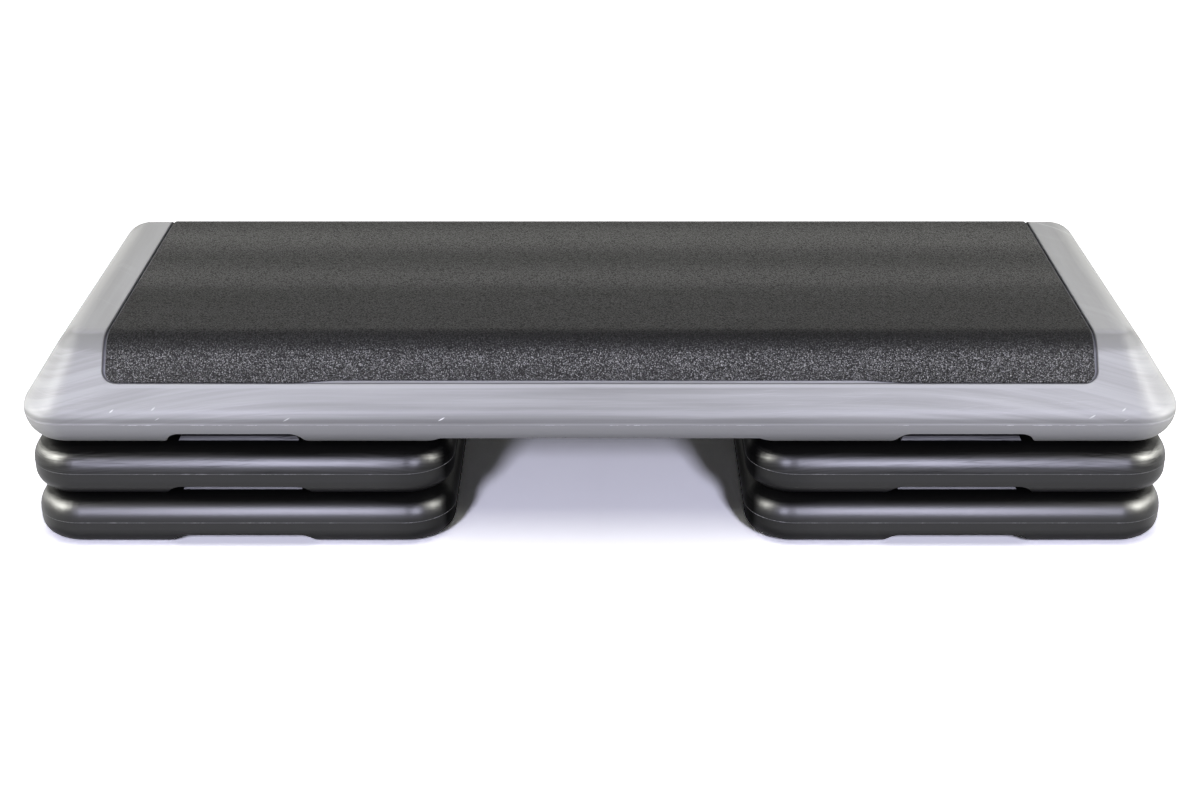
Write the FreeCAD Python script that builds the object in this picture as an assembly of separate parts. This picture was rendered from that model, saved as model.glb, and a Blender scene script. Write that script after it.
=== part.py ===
"""Aerobic step platform: a moulded deck with an inlaid tread mat, standing on two stacks of square risers.

Millimetres and degrees. X runs along the deck, the front is -Y, +Z is up.
The origin is on the floor under the middle of the deck.
"""
import FreeCAD, Part
import math
import os

Vector = FreeCAD.Vector
UP = Vector(0, 0, 1)

# Driving dimensions of the stack
deck_length = 1092.0
deck_depth = 414.0
deck_rise = 102.0
riser_side = 404.0
riser_pitch = 52.0
riser_end_setback = 1.5
skin = 4.0
foot_proud = 1.5

# Deck body, seen in section from the underside up to the tread
deck_lower_round = 29.5
parting_land = 1.0
deck_nose_round = 20.0
deck_slope_lean = 34.0
deck_fold_round = 30.0
deck_corner_radius = 44.0
deck_fold_corner_radius = 20.0

# Relieved middle of the deck's underside
relief_overlap = 9.0
relief_rise = 10.0
relief_step_run = 38.0

# Tread mat and the pocket that it lies in
mat_end_margin = 85.0
mat_thickness = 3.0
mat_proud = 0.4
mat_slope_reach = 43.0
mat_corner_radius = 10.0
mat_gap = 3.0
pocket_rim_round = 1.6

# Riser body
riser_corner_radius = 47.0
riser_lower_round = 17.0

# Notches in the lower edges, and the lugs on the risers that stand in them
riser_notch_mouth = 160.0
riser_notch_rise = 11.0
riser_notch_ramp = 26.0
deck_notch_mouth = 154.0
deck_notch_rise = 16.0
deck_notch_ramp = 26.0
notch_reach = 54.0
notch_lead = 1.0
notch_rim_round = 1.5
lug_length = 116.0
lug_width = 24.0
lug_rise = 4.2
lug_draft = 2.0
lug_overhang = 4.5
lug_edge_round = 1.0

# Conical pits that weld the lower skin to the upper one
pit_pitch = 110.0
pit_mouth_radius = 24.0
pit_tip_radius = 10.0

# Push-in rubber feet
foot_inset = 52.0
foot_radius = 15.5
foot_seat_depth = 2.5
foot_seat_clearance = 0.3
foot_edge_bevel = 0.8
foot_stem_radius = 4.0
foot_stem_clearance = 0.2
foot_barb_radius = 6.5
foot_barb_rise = 6.0

# Working values for cuts and for finding edges
overrun = 10.0
match = 0.001

# Places that follow from the sizes above
lean = math.radians(deck_slope_lean)
fold_turn = math.pi / 2 - lean
riser_edge_round = (riser_pitch - foot_proud - parting_land) / 2
deck_body_top = deck_rise - mat_proud
deck_half_length = deck_length / 2
deck_half_depth = deck_depth / 2
brow_height = foot_proud + deck_lower_round + parting_land + deck_nose_round * math.tan(lean / 2)
slope_run = (deck_body_top - brow_height) * math.tan(lean)
pocket_depth = mat_thickness - mat_proud
deck_level = 2 * riser_pitch
riser_centre = deck_half_length - riser_end_setback - riser_side / 2
relief_half_length = riser_centre - riser_side / 2 + relief_overlap
mat_length = deck_length - 2 * mat_end_margin
foot_pitch = riser_side - 2 * foot_inset
foot_head_rise = foot_proud + foot_seat_depth

SIDES = {"left": -1, "right": 1}
STACK = {"lower": 0, "upper": 1}
ROWS = {"front": -1, "rear": 1}
COLUMNS = {"outer": 1, "inner": -1}


def rounded_outline(half_x, half_y, radius, height):
    """Level outline of four straight sides joined by quarter arcs."""
    bow = radius * (1 - math.cos(math.pi / 4))
    corners = [(1, -1), (1, 1), (-1, 1), (-1, -1)]
    edges = []
    last = None
    for x_sign, y_sign in corners:
        near_y = Vector(x_sign * (half_x - radius), y_sign * half_y, height)
        near_x = Vector(x_sign * half_x, y_sign * (half_y - radius), height)
        middle = Vector(x_sign * (half_x - bow), y_sign * (half_y - bow), height)
        start, end = (near_y, near_x) if x_sign * y_sign < 0 else (near_x, near_y)
        if last is not None:
            edges.append(Part.LineSegment(last, start).toShape())
        edges.append(Part.Arc(start, middle, end).toShape())
        last = end
    edges.append(Part.LineSegment(last, edges[0].Vertexes[0].Point).toShape())
    return Part.Wire(edges)


def edges_at(shape, height):
    """Edges that lie level at one height."""
    boxes = [(edge, edge.BoundBox) for edge in shape.Edges]
    return [edge for edge, box in boxes if abs(box.ZMin - height) < match and abs(box.ZMax - height) < match]


def upright_prism(outline, rise):
    """Solid standing on a level outline."""
    return Part.Face(outline).extrude(UP * rise)


def sloped_prism(low_outline, high_outline):
    """Solid between two level outlines, with plane sides and conical corners."""
    faces = [Part.Face(low_outline), Part.Face(high_outline)]
    for low_edge, high_edge in zip(low_outline.Edges, high_outline.Edges):
        if isinstance(low_edge.Curve, Part.Line):
            start, end = [vertex.Point for vertex in low_edge.Vertexes]
            high_start, high_end = [vertex.Point for vertex in high_edge.Vertexes]
            faces.append(Part.Face(Part.makePolygon([start, end, high_end, high_start, start])))
        else:
            faces.append(Part.makeRuledSurface(low_edge, high_edge))
    shell = Part.Shell(faces)
    shell.sewShape()
    return Part.Solid(shell)


def on_skin(shape, point):
    """Whether a point lies on the outside of a shape."""
    return shape.Shells[0].distToShape(Part.Vertex(point))[0] < match


def cut_with_round_rim(block, tools, radius):
    """Block with recesses cut in it, each with its rim rounded over."""
    recessed = block.cut(tools)
    rim = []
    for edge in recessed.Edges:
        middle = edge.valueAt((edge.FirstParameter + edge.LastParameter) / 2)
        if on_skin(block, middle) and any(on_skin(tool, middle) for tool in tools):
            rim.append(edge)
    return recessed.makeFillet(radius, rim)


def centred_box(centre, half_x, half_y, low, high):
    """Box about an upright line, between two heights."""
    corner = Vector(centre.x - half_x, centre.y - half_y, low)
    return Part.makeBox(2 * half_x, 2 * half_y, high - low, corner)


def riser_block(inset):
    """Square riser body with a full-round shoulder and a tighter round below, or the space inside it."""
    half = riser_side / 2 - inset
    low = foot_proud + inset
    high = riser_pitch - inset
    outline = rounded_outline(half, half, riser_corner_radius - inset, low)
    block = upright_prism(outline, high - low)
    block = block.makeFillet(riser_lower_round - inset, edges_at(block, low))
    return block.makeFillet(riser_edge_round - inset, edges_at(block, high))


def deck_block(inset):
    """Deck body with sloping sides, or the space inside its skin."""
    half_x = deck_half_length - inset
    half_y = deck_half_depth - inset
    low = foot_proud + inset
    brow = brow_height - inset * math.tan(lean / 2)
    high = deck_body_top - inset
    run = (high - brow) * math.tan(lean)
    corner = deck_corner_radius - inset
    fold_corner = deck_fold_corner_radius - inset
    skirt = upright_prism(rounded_outline(half_x, half_y, corner, low), brow - low)
    brow_line = rounded_outline(half_x, half_y, corner, brow)
    fold_line = rounded_outline(half_x - run, half_y - run, fold_corner, high)
    block = skirt.fuse(sloped_prism(brow_line, fold_line)).removeSplitter()
    block = block.makeFillet(deck_lower_round - inset, edges_at(block, low))
    block = block.makeFillet(deck_nose_round - inset, edges_at(block, brow))
    return block.makeFillet(deck_fold_round - inset, edges_at(block, high))


def tread_line(lift, reach):
    """Front half of a line over the deck: slope end, slope tangent, middle of the fold, top tangent."""
    radius = deck_fold_round + lift
    tangent = radius * math.tan(fold_turn / 2)
    fold_y = -deck_half_depth + slope_run - lift * math.tan(fold_turn / 2)
    fold_z = deck_body_top + lift
    down = Vector(0, -math.sin(lean), -math.cos(lean))
    out = Vector(0, -math.cos(lean), math.sin(lean))
    surface_fold = Vector(0, -deck_half_depth + slope_run, deck_body_top)
    centre = Vector(0, fold_y + tangent, fold_z - radius)
    half_turn = lean + fold_turn / 2
    slope_end = surface_fold + down * reach + out * lift
    slope_tangent = Vector(0, fold_y, fold_z) + down * tangent
    fold_middle = centre + Vector(0, -math.cos(half_turn), math.sin(half_turn)) * radius
    top_tangent = Vector(0, fold_y + tangent, fold_z)
    return slope_end, slope_tangent, fold_middle, top_tangent


def tread_edges(lift, reach):
    """Edges from the front slope over the top to the rear slope."""
    end, tangent, middle, top = tread_line(lift, reach)
    rear_end, rear_tangent, rear_middle, rear_top = [
        Vector(0, -point.y, point.z) for point in (end, tangent, middle, top)
    ]
    front = [Part.LineSegment(end, tangent), Part.Arc(tangent, middle, top)]
    rear = [Part.Arc(rear_top, rear_middle, rear_tangent), Part.LineSegment(rear_tangent, rear_end)]
    curves = front + [Part.LineSegment(top, rear_top)] + rear
    return [curve.toShape() for curve in curves], end, rear_end


def tread_band(length, reach, low_lift, high_lift, corner_radius):
    """Band of even thickness wrapped over both slopes, with round corners at its four ends."""
    upper, upper_front, upper_rear = tread_edges(high_lift, reach)
    lower, lower_front, lower_rear = tread_edges(low_lift, reach)
    ends = [
        Part.LineSegment(upper_rear, lower_rear).toShape(),
        Part.LineSegment(lower_front, upper_front).toShape(),
    ]
    section = Part.Wire(Part.__sortEdges__(upper + lower + ends))
    section.translate(Vector(-length / 2, 0, 0))
    band = Part.Face(section).extrude(Vector(length, 0, 0))
    thickness = high_lift - low_lift
    corners = [
        edge for edge in band.Edges
        if abs(edge.Length - thickness) < match and abs(abs(edge.CenterOfMass.x) - length / 2) < match
    ]
    return band.makeFillet(corner_radius, corners)


def quarter_turned(shape, centre, quarters):
    """Copy of a shape turned by right angles about an upright line."""
    turned = shape.copy()
    turned.rotate(centre, UP, math.degrees(quarters * math.pi / 2))
    return turned


def notch_cut(centre, mouth, rise, ramp):
    """Channel with ogee ramps at its ends, open to the front edge of a square nest."""
    low = foot_proud - notch_lead
    high = foot_proud + rise
    climb = high - low
    half_turn = math.atan(climb / ramp)
    bend = math.hypot(ramp, climb) / (4 * math.sin(half_turn))
    bow = bend * math.sin(half_turn)
    sag = bend * (1 - math.cos(half_turn))
    half = mouth / 2
    y = centre.y - riser_side / 2 - overrun

    def at(x, z):
        return Vector(centre.x + x, y, z)

    edges = []
    for side in (-1, 1):
        base = at(side * half, low)
        throat = at(side * (half - ramp / 2), low + climb / 2)
        crown = at(side * (half - ramp), high)
        lower_bow = at(side * (half - bow), low + sag)
        upper_bow = at(side * (half - ramp + bow), high - sag)
        edges.append(Part.Arc(base, lower_bow, throat).toShape())
        edges.append(Part.Arc(throat, upper_bow, crown).toShape())
    edges.append(Part.LineSegment(at(-half, low), at(half, low)).toShape())
    edges.append(Part.LineSegment(at(ramp - half, high), at(half - ramp, high)).toShape())
    section = Part.Wire(Part.__sortEdges__(edges))
    return Part.Face(section).extrude(Vector(0, notch_reach + overrun, 0))


def notch_backing(centre, mouth, rise):
    """Room that the skin round a notch takes from the hollow."""
    half_x = mouth / 2 + skin
    half_y = (notch_reach + skin) / 2
    middle = Vector(centre.x, centre.y - riser_side / 2 + half_y, 0)
    return centred_box(middle, half_x, half_y, 0, foot_proud + rise + skin)


def lug(centre):
    """Raised bar with drafted sides along the front edge of a riser's top, reaching over the shoulder."""
    half_x = lug_length / 2
    half_y = lug_width / 2
    y = centre.y - riser_side / 2 + riser_edge_round - lug_overhang + half_y
    base_height = riser_pitch - skin / 2
    sink = skin / 2 + lug_rise
    spread = lug_draft * sink / lug_rise
    outlines = []
    for height, inset in ((base_height, 0), (base_height + sink, spread)):
        x_reach = half_x - inset
        y_reach = half_y - inset
        middle = Vector(centre.x, y, height)
        signs = [(-1, -1), (1, -1), (1, 1), (-1, 1), (-1, -1)]
        corners = [middle + Vector(x_sign * x_reach, y_sign * y_reach, 0) for x_sign, y_sign in signs]
        outlines.append(Part.makePolygon(corners))
    bar = Part.makeLoft(outlines, True, True)
    return bar.makeFillet(lug_edge_round, edges_at(bar, base_height + sink))


def grid(centre, pitch):
    """Four points on a square about a centre, named by row and column."""
    side = -1 if centre.x < 0 else 1
    return {
        (row, column): centre + Vector(side * x_sign * pitch / 2, y_sign * pitch / 2, 0)
        for row, y_sign in ROWS.items()
        for column, x_sign in COLUMNS.items()
    }


def foot_seat_cuts(place):
    """Round seat in the underside and the stem hole above it."""
    seat = Part.makeCylinder(foot_radius + foot_seat_clearance, foot_head_rise, place)
    hole_base = place + UP * foot_head_rise
    hole = Part.makeCylinder(foot_stem_radius + foot_stem_clearance, skin, hole_base)
    return [seat, hole]


def foot_seat_backing(place):
    """Room that the skin over a foot's seat takes from the hollow."""
    return Part.makeCylinder(foot_radius + foot_seat_clearance + skin, foot_head_rise + skin, place)


def foot(place):
    """Rubber foot: a round head, a stem through the skin and a barb that holds it there."""
    head = Part.makeCylinder(foot_radius, foot_head_rise, place)
    head = head.makeChamfer(foot_edge_bevel, edges_at(head, place.z))
    stem = Part.makeCylinder(foot_stem_radius, skin, place + UP * foot_head_rise)
    barb_base = place + UP * (foot_head_rise + skin)
    barb = Part.makeCone(foot_barb_radius, foot_stem_radius, foot_barb_rise, barb_base)
    return head.fuse([stem, barb]).removeSplitter()


def pit_cut(place, ceiling):
    """Conical pit that rises from the underside to the upper skin."""
    base = place + UP * foot_proud
    return Part.makeCone(pit_mouth_radius, pit_tip_radius, ceiling - skin - foot_proud, base)


def pit_backing(place, ceiling):
    """Cone of skin round a pit."""
    base = place + UP * foot_proud
    return Part.makeCone(pit_mouth_radius + skin, pit_tip_radius + skin, ceiling - foot_proud + skin, base)


def all_round(shape, centre):
    """Copies of a shape at the four sides of a square nest."""
    return [quarter_turned(shape, centre, quarters) for quarters in range(4)]


def foot_features(centre):
    """Foot seats of one square nest: what is cut away, and what stays round the cuts."""
    cuts = []
    backings = []
    for place in grid(centre, foot_pitch).values():
        cuts.extend(foot_seat_cuts(place))
        backings.append(foot_seat_backing(place))
    return cuts, backings


def pit_features(centre, ceiling):
    """Pits about one centre, and the cones of skin round them."""
    places = grid(centre, pit_pitch).values()
    return [pit_cut(place, ceiling) for place in places], [pit_backing(place, ceiling) for place in places]


def relief_cut(low, rise, grow):
    """Shallow relief across the underside of the deck, with sloping steps at its ends."""
    half_foot = relief_half_length + grow
    half_roof = half_foot - relief_step_run
    corners = [(-half_foot, low), (half_foot, low), (half_roof, low + rise), (-half_roof, low + rise)]
    front = -deck_half_depth - overrun
    points = [Vector(x, front, z) for x, z in corners + corners[:1]]
    return Part.Face(Part.makePolygon(points)).extrude(Vector(0, deck_depth + 2 * overrun, 0))


def moulding(outside, hollow, cuts, backings):
    """Hollow moulding with one even skin, also round each cut."""
    return outside.cut(cuts).cut(hollow.cut(backings))


def riser():
    """One riser, standing on the floor about the origin."""
    centre = Vector(0, 0, 0)
    notches = all_round(notch_cut(centre, riser_notch_mouth, riser_notch_rise, riser_notch_ramp), centre)
    notch_skins = all_round(notch_backing(centre, riser_notch_mouth, riser_notch_rise), centre)
    seats, seat_skins = foot_features(centre)
    pits, posts = pit_features(centre, riser_pitch - skin)
    notched = cut_with_round_rim(riser_block(0), notches, notch_rim_round)
    outside = notched.fuse(all_round(lug(centre), centre))
    return moulding(outside, riser_block(skin), seats + pits, notch_skins + seat_skins + posts)


def deck_shell():
    """Deck body, standing on the floor about the origin."""
    pocket_reach = mat_slope_reach + mat_gap
    pocket_length = mat_length + 2 * mat_gap
    pocket_corner = mat_corner_radius + mat_gap
    pocket = tread_band(pocket_length, pocket_reach, -pocket_depth, overrun, pocket_corner)
    pocket_backing = tread_band(
        pocket_length + 2 * skin, pocket_reach + skin, -pocket_depth - skin, overrun, pocket_corner + skin
    )
    ceiling = deck_body_top - pocket_depth - skin
    cuts = [relief_cut(foot_proud - relief_rise, 2 * relief_rise, relief_step_run)]
    backings = [pocket_backing, relief_cut(foot_proud, relief_rise + skin, relief_step_run + skin)]
    notches = []
    for x in (-riser_centre, 0, riser_centre):
        pits, posts = pit_features(Vector(x, 0, 0), ceiling)
        cuts.extend(pits)
        backings.extend(posts)
    for x in (-riser_centre, riser_centre):
        nest = Vector(x, 0, 0)
        seats, seat_skins = foot_features(nest)
        cuts.extend(seats)
        notches.extend(all_round(notch_cut(nest, deck_notch_mouth, deck_notch_rise, deck_notch_ramp), nest))
        notch_skins = all_round(notch_backing(nest, deck_notch_mouth, deck_notch_rise), nest)
        backings.extend(seat_skins + notch_skins)
    outside = cut_with_round_rim(deck_block(0), [pocket], pocket_rim_round)
    outside = cut_with_round_rim(outside, notches, notch_rim_round)
    return moulding(outside, deck_block(skin), cuts, backings)


def tread_mat():
    """Rubber mat that lies in the deck's pocket, a little proud of the deck."""
    return tread_band(mat_length, mat_slope_reach, -pocket_depth, mat_proud, mat_corner_radius)


def raised(shape, x, height):
    """Copy of a piece moved along the deck and up."""
    moved = shape.copy()
    moved.translate(Vector(x, 0, height))
    return moved


def all_pieces():
    """Every piece of the platform by its node name."""
    pieces = {}
    pieces["deck_shell"] = raised(deck_shell(), 0, deck_level)
    pieces["tread_mat"] = raised(tread_mat(), 0, deck_level)
    one_riser = riser()
    for side, x_sign in SIDES.items():
        nest = Vector(x_sign * riser_centre, 0, 0)
        levels = {f"{side}_{layer}_riser": step * riser_pitch for layer, step in STACK.items()}
        for name, height in levels.items():
            pieces[name] = raised(one_riser, nest.x, height)
        levels[f"{side}_deck"] = deck_level
        for (row, column), place in grid(nest, foot_pitch).items():
            for name, height in levels.items():
                pieces[f"{name}_{row}_{column}_foot"] = foot(place + UP * height)
    return pieces


os.makedirs("parts", exist_ok=True)
for node, shape in all_pieces().items():
    print(node, "valid" if shape.isValid() else "NOT VALID", len(shape.Solids), round(shape.Volume))
    shape.exportStep(f"parts/{node}.step")
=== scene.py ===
# %% [markdown]
# # An aerobic step platform
# The object is a low exercise step: a grey hollow deck with a black pebbled tread mat, standing on two
# stacks of black square risers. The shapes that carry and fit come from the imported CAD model, and this
# lesson dresses them: it sets the camera and the studio, makes the finishes as node trees, and adds the
# pieces that a CAD solid shows too plainly, the tread mat and the moulding lines.

# %% Load the frame
import math

import bpy
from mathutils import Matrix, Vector


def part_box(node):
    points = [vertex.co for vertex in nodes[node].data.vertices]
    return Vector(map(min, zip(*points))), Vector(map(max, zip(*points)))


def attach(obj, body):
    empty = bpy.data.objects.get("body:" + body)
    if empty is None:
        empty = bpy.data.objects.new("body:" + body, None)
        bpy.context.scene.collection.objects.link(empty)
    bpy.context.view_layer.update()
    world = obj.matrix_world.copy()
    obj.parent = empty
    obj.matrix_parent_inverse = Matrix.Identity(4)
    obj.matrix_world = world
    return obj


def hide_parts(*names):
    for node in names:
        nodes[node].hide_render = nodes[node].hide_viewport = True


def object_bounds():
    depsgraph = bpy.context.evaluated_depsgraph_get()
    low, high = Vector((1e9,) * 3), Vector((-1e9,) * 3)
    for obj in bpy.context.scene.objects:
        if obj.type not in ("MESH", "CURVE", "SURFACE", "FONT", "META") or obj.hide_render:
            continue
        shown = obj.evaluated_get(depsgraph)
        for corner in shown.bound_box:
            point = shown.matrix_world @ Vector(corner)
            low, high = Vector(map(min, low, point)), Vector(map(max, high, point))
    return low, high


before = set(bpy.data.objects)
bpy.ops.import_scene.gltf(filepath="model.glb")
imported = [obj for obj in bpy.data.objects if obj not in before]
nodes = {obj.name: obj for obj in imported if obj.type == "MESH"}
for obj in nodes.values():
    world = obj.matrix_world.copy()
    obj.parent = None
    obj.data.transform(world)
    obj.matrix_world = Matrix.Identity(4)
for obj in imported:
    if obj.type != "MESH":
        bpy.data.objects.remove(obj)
cad_box = [list(corner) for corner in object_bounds()]
scene = bpy.context.scene
print("nodes", len(nodes), "box", cad_box)

# %% [markdown]
# ## Arithmetic in node trees
# Shaders and Geometry Nodes both do their sums with Math nodes. Wiring each one by hand hides the formula,
# so this small class lets a socket be added, multiplied and compared as a plain number would be. Every
# operation adds one Math node to the tree and gives back its output.

# %% A number that varies over a tree
class Field:
    """A value in a node tree, written like arithmetic."""

    def __init__(self, tree, socket):
        self.tree = tree
        self.socket = socket

    def math(self, operation, *values, clamp=False):
        node = self.tree.nodes.new("ShaderNodeMath")
        node.operation = operation
        node.use_clamp = clamp
        for socket, value in zip(node.inputs, values):
            feed(self.tree, socket, value)
        return Field(self.tree, node.outputs[0])

    def __add__(self, other):
        return self.math("ADD", self, other)

    def __sub__(self, other):
        return self.math("SUBTRACT", self, other)

    def __mul__(self, other):
        return self.math("MULTIPLY", self, other)

    def __truediv__(self, other):
        return self.math("DIVIDE", self, other)

    def __rsub__(self, other):
        return self.math("SUBTRACT", other, self)

    __radd__ = __add__
    __rmul__ = __mul__

    def size(self):
        return self.math("ABSOLUTE", self)

    def at_least(self, other):
        return self.math("MAXIMUM", self, other)

    def at_most(self, other):
        return self.math("MINIMUM", self, other)

    def power(self, other):
        return self.math("POWER", self, other)

    def smooth(self, start, end, low=0.0, high=1.0):
        """Eased ramp from low to high as the value goes from start to end."""
        node = self.tree.nodes.new("ShaderNodeMapRange")
        node.interpolation_type = "SMOOTHSTEP"
        for socket, value in zip(node.inputs, (self, start, end, low, high)):
            feed(self.tree, socket, value)
        return Field(self.tree, node.outputs[0])

    def band(self, start, full, fade, end):
        """One between full and fade, eased down to nothing at start and end."""
        return self.smooth(start, full) * self.smooth(end, fade)


def feed(tree, socket, value):
    """Link a socket to a field or another socket, or set it to a constant."""
    if isinstance(value, Field):
        value = value.socket
    if isinstance(value, bpy.types.NodeSocket):
        tree.links.new(value, socket)
    else:
        socket.default_value = value


def place(tree, kind, settings=(), **inputs):
    """Add a node, set its options and feed its inputs by name."""
    node = tree.nodes.new(kind)
    for name, value in dict(settings).items():
        setattr(node, name, value)
    for name, value in inputs.items():
        feed(tree, node.inputs[name.replace("_", " ")], value)
    return node


def parts_of(tree, vector):
    """The three components of a vector as fields."""
    node = place(tree, "ShaderNodeSeparateXYZ", Vector=vector)
    return [Field(tree, socket) for socket in node.outputs]


def vector_of(tree, x, y, z):
    """A vector put together from three fields or numbers."""
    return place(tree, "ShaderNodeCombineXYZ", X=x, Y=y, Z=z).outputs[0]


def new_tree(name, kind, inputs, outputs):
    """Empty node group with named sockets, and its two end nodes."""
    tree = bpy.data.node_groups.new(name, kind)
    for label, socket_type, default in inputs:
        socket = tree.interface.new_socket(label, in_out="INPUT", socket_type=socket_type)
        if default is not None:
            socket.default_value = default
    for label, socket_type in outputs:
        tree.interface.new_socket(label, in_out="OUTPUT", socket_type=socket_type)
    return tree, tree.nodes.new("NodeGroupInput"), tree.nodes.new("NodeGroupOutput")


print("node arithmetic ready")

# %% [markdown]
# ## The camera
# The lens, the height and the tilt were worked out from the outlines in the photograph: with the deck taken
# as 1092 mm long, one pinhole camera straight in front of the step puts the main edges within a pixel or two.
# A real camera is not shifted, so neither is this one.

# %% Camera
CAMERA_BACK = 1.8167
CAMERA_HEIGHT = 0.8993
CAMERA_TILT = math.radians(24.716)
SENSOR_WIDTH = 36.0
FOCAL_LENGTH = 57.525

camera = bpy.data.objects.new("camera", bpy.data.cameras.new("camera"))
camera.data.sensor_width = SENSOR_WIDTH
camera.data.lens = FOCAL_LENGTH
camera.location = (0.0, -CAMERA_BACK, CAMERA_HEIGHT)
camera.rotation_euler = (math.pi / 2 - CAMERA_TILT, 0.0, 0.0)
scene.collection.objects.link(camera)
scene.camera = camera
scene.view_settings.view_transform = "Standard"
print("camera", list(camera.location), "lens", FOCAL_LENGTH)

# %% [markdown]
# ## The studio
# The step stands on a white sweep. A plain white world would light every side alike and make the plastic
# look flat. So the world is bright low down behind the step, where the sweep rises, and dim above and in
# front: satin plastic shows that difference in every edge. The camera itself sees plain white.

# %% World
SWEEP_LIGHT = 1.6
SWEEP_SPILL = 0.05
SWEEP_DEPTH = 0.6
SWEEP_TOP = 0.55
SWEEP_FULL = 0.28
SWEEP_COLOR = (1.0, 0.99, 0.945, 1.0)
ROOM_LIGHT = 0.015
WHITE = (1.0, 1.0, 1.0, 1.0)


def white_studio():
    """World that is white to the camera and lights the step from behind."""
    world = bpy.data.worlds.new("white_studio")
    scene.world = world
    world.use_nodes = True
    tree = world.node_tree
    tree.nodes.clear()
    y, z = parts_of(tree, place(tree, "ShaderNodeTexCoord").outputs["Generated"])[1:]
    rays = place(tree, "ShaderNodeLightPath")
    sweep = y.smooth(0.0, SWEEP_DEPTH) * z.smooth(SWEEP_TOP, SWEEP_FULL)
    share = Field(tree, rays.outputs["Is Glossy Ray"]) * (1.0 - SWEEP_SPILL) + SWEEP_SPILL
    strength = sweep * share * SWEEP_LIGHT + ROOM_LIGHT
    lit = place(tree, "ShaderNodeBackground", Color=SWEEP_COLOR, Strength=strength)
    seen = place(tree, "ShaderNodeBackground", Color=WHITE, Strength=1.0)
    mix = place(tree, "ShaderNodeMixShader", Fac=rays.outputs["Is Camera Ray"])
    tree.links.new(lit.outputs[0], mix.inputs[1])
    tree.links.new(seen.outputs[0], mix.inputs[2])
    place(tree, "ShaderNodeOutputWorld", Surface=mix.outputs[0])


white_studio()
print("world", scene.world.name)

# %% [markdown]
# ## The floor
# The floor catches the shadow, so it is a real matt surface. It is dark to the light that bounces off it,
# pale to the camera, and between the two where the plastic mirrors it. Further out a glow carries it into
# the white background; past the ends of the step, where the shadow is faint, the glow starts sooner. The
# floor is made in two halves so that a lamp can be kept off one of them.

# %% Floor in two halves
FLOOR_HALF = 9.0
FLOOR_COLOR = 0.15
FLOOR_SEEN = 2.65
FLOOR_MIRRORED = 0.6
GLOW_NEAR = 0.03
GLOW_FAR = 0.30
END_CLEARING = 8.0
MIRROR_NEAR = -0.005
MIRROR_FAR = 0.02
MIRROR_GLOW = 0.62


def paper():
    """Matt white that looks paper white to the camera, keeps the shadow and melts into the background."""
    material = bpy.data.materials.new("paper_floor")
    material.use_nodes = True
    tree = material.node_tree
    tree.nodes.clear()
    rays = place(tree, "ShaderNodeLightPath").outputs
    seen = Field(tree, rays["Is Camera Ray"])
    mirrored = Field(tree, rays["Is Glossy Ray"])
    white = seen * (FLOOR_SEEN - FLOOR_COLOR) + mirrored * (FLOOR_MIRRORED - FLOOR_COLOR) + FLOOR_COLOR
    matt = place(tree, "ShaderNodeBsdfDiffuse", Color=white)
    x, y = parts_of(tree, place(tree, "ShaderNodeTexCoord").outputs["Object"])[:2]
    beside, ahead = [(axis.size() - cad_box[1][n]).at_least(0.0) for n, axis in enumerate((x, y))]
    away = (beside * beside + ahead * ahead).power(0.5)
    clear = (beside * beside * END_CLEARING**2 + ahead * ahead).power(0.5)
    shown = clear.smooth(GLOW_NEAR, GLOW_FAR) * seen
    shown = away.smooth(MIRROR_NEAR, MIRROR_FAR) * mirrored * MIRROR_GLOW + shown
    glow = place(tree, "ShaderNodeEmission", Color=WHITE, Strength=shown)
    both = tree.nodes.new("ShaderNodeAddShader")
    tree.links.new(matt.outputs[0], both.inputs[0])
    tree.links.new(glow.outputs[0], both.inputs[1])
    place(tree, "ShaderNodeOutputMaterial", Surface=both.outputs[0])
    return material


def floor_half(name, side, material):
    """Half of the floor, on one side of the middle of the step."""
    mesh = bpy.data.meshes.new(name)
    left, right = sorted((0.0, side * FLOOR_HALF))
    corners = [(left, -FLOOR_HALF), (right, -FLOOR_HALF), (right, FLOOR_HALF), (left, FLOOR_HALF)]
    mesh.from_pydata([(x, y, 0.0) for x, y in corners], [], [(0, 1, 2, 3)])
    mesh.materials.append(material)
    half = bpy.data.objects.new(name, mesh)
    scene.collection.objects.link(half)
    return half


SIDES = {"left": -1, "right": 1}
floor_paper = paper()
floor_halves = {side: floor_half(f"{side}_floor", sign, floor_paper) for side, sign in SIDES.items()}
print("floor", sorted(floor_halves))

# %% [markdown]
# ## The lights
# Satin plastic shows little but what it mirrors, so each highlight on the step has a lamp of its own, one on
# either side. Light linking says which pieces a lamp reaches:
# - front: a small lavender lamp beside the lens lights the deck and throws the shadow of that side's risers
#   in towards the middle. It is kept off the other half of the floor, so as not to wash out its shadow.
# - end: a neutral lamp further round lights every piece of the step.
# - wedge and bounce: for the deck only, the white wedge on its front corners and the light under its nose.
# - bar, spot and rim: for the risers only, the pale bar along each front, the white spot on each rounded
#   corner and the thin light round each end.
# One large lamp overhead whitens the floor wherever the deck does not shade it.

# %% Softbox
LAMP_TARGET = Vector((0.0, 0.0, 0.11))


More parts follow.
